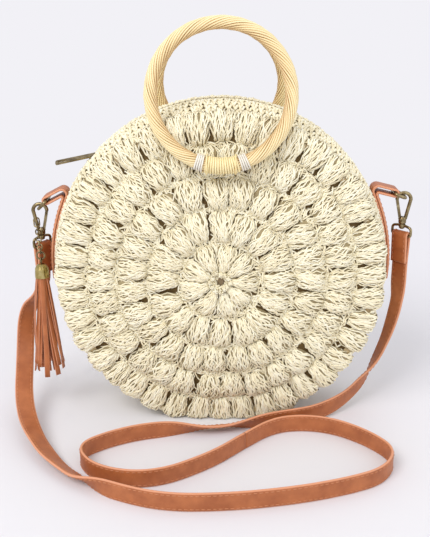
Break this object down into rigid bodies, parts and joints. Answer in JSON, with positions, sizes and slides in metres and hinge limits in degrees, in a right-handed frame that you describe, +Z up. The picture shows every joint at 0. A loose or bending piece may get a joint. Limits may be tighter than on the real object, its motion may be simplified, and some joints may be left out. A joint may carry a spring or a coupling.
{
  "type": "circle bag",
  "caption": "Round crochet handbag with ring handles bound with cane, a zipped top, and a clip-on leather shoulder strap with swivel hooks and a tassel.",
  "frame": {"origin": "on the floor, under the middle of the bag", "axes": "+X to the right in the front view, +Y from the front panel to the rear panel, +Z up"},
  "size_m": [0.3637, 0.2465, 0.3488],
  "materials": {
    "crochet": "matte paper yarn",
    "lining": "plain cotton",
    "zip_tape": "woven tape",
    "brass": "antique",
    "rattan": "satin",
    "cane": "satin",
    "thread": "matte",
    "leather": "satin"
  },
  "bodies": {
    "bag": {"front_panel": "crochet", "rear_panel": "crochet", "gusset_band": "crochet", "top_strip_front": "crochet", "top_strip_rear": "crochet", "lining": "lining", "zip_tape_front": "zip_tape", "zip_tape_rear": "zip_tape", "zip_teeth_front": "brass", "zip_teeth_rear": "brass", "zip_stops": "brass", "left_tab": "leather", "right_tab": "leather", "front_handle_anchor": "cane", "rear_handle_anchor": "cane", "strap": "leather"},
    "front_handle": {"front_handle_ring": "rattan", "front_handle_cane": "cane", "front_handle_threads": "thread"},
    "rear_handle": {"rear_handle_ring": "rattan", "rear_handle_cane": "cane", "rear_handle_threads": "thread"},
    "slider": {"zip_slider": "brass"},
    "pull": {"zip_pull": "brass"},
    "left_hanger": {"left_ring": "brass", "left_swivel_eye": "brass", "left_strap_end": "leather"},
    "right_hanger": {"right_ring": "brass", "right_swivel_eye": "brass", "right_strap_end": "leather"},
    "left_clip": {"left_hook": "brass", "left_gate_pin": "brass", "tassel_chain": "brass"},
    "right_clip": {"right_hook": "brass", "right_gate_pin": "brass"},
    "left_gate_arm": {"left_gate": "brass"},
    "right_gate_arm": {"right_gate": "brass"},
    "tassel": {"tassel_ring": "brass", "tassel_pin": "brass", "tassel_cap": "brass", "tassel_fringe": "leather"}
  },
  "joints": [
    {"name": "front_handle_fold", "type": "hinge", "parent": "bag", "child": "front_handle", "pos_m": [0, -0.05692, 0.2357], "axis": [1, 0, 0], "range_deg": [0, 165]},
    {"name": "rear_handle_fold", "type": "hinge", "parent": "bag", "child": "rear_handle", "pos_m": [0, 0.05692, 0.2357], "axis": [-1, 0, 0], "range_deg": [0, 165]},
    {"name": "zip_run", "type": "hinge", "parent": "bag", "child": "slider", "pos_m": [0, 0, 0.135], "axis": [0, 1, 0], "range_deg": [0, 90]},
    {"name": "pull_flip", "type": "hinge", "parent": "slider", "child": "pull", "pos_m": [-0.09891, 0, 0.23391], "axis": [0, 1, 0], "range_deg": [0, 120]},
    {"name": "left_ring_swing", "type": "hinge", "parent": "bag", "child": "left_hanger", "pos_m": [-0.15105, 0, 0.193], "axis": [0, 1, 0], "range_deg": [0, 40]},
    {"name": "right_ring_swing", "type": "hinge", "parent": "bag", "child": "right_hanger", "pos_m": [0.15063, 0, 0.19967], "axis": [0, -1, 0], "range_deg": [0, 40]},
    {"name": "left_hook_swivel", "type": "hinge", "parent": "left_hanger", "child": "left_clip", "pos_m": [-0.15835, 0, 0.18544], "axis": [0, 0, 1], "range_deg": [-20, 8]},
    {"name": "right_hook_swivel", "type": "hinge", "parent": "right_hanger", "child": "right_clip", "pos_m": [0.16022, 0, 0.1954], "axis": [0, 0, 1], "range_deg": [-20, 20]},
    {"name": "left_gate_press", "type": "hinge", "parent": "left_clip", "child": "left_gate_arm", "pos_m": [-0.15615, 0, 0.16504], "axis": [0, -1, 0], "range_deg": [0, 17], "stiffness_Nm_per_rad": 0.02, "springref_deg": -11.46},
    {"name": "right_gate_press", "type": "hinge", "parent": "right_clip", "child": "right_gate_arm", "pos_m": [0.15802, 0, 0.175], "axis": [0, 1, 0], "range_deg": [0, 17], "stiffness_Nm_per_rad": 0.02, "springref_deg": -11.46},
    {"name": "tassel_swing", "type": "hinge", "parent": "left_clip", "child": "tassel", "pos_m": [-0.15583, -0.02137, 0.15148], "axis": [-1, 0, 0], "range_deg": [-2, 45]}
  ]
}
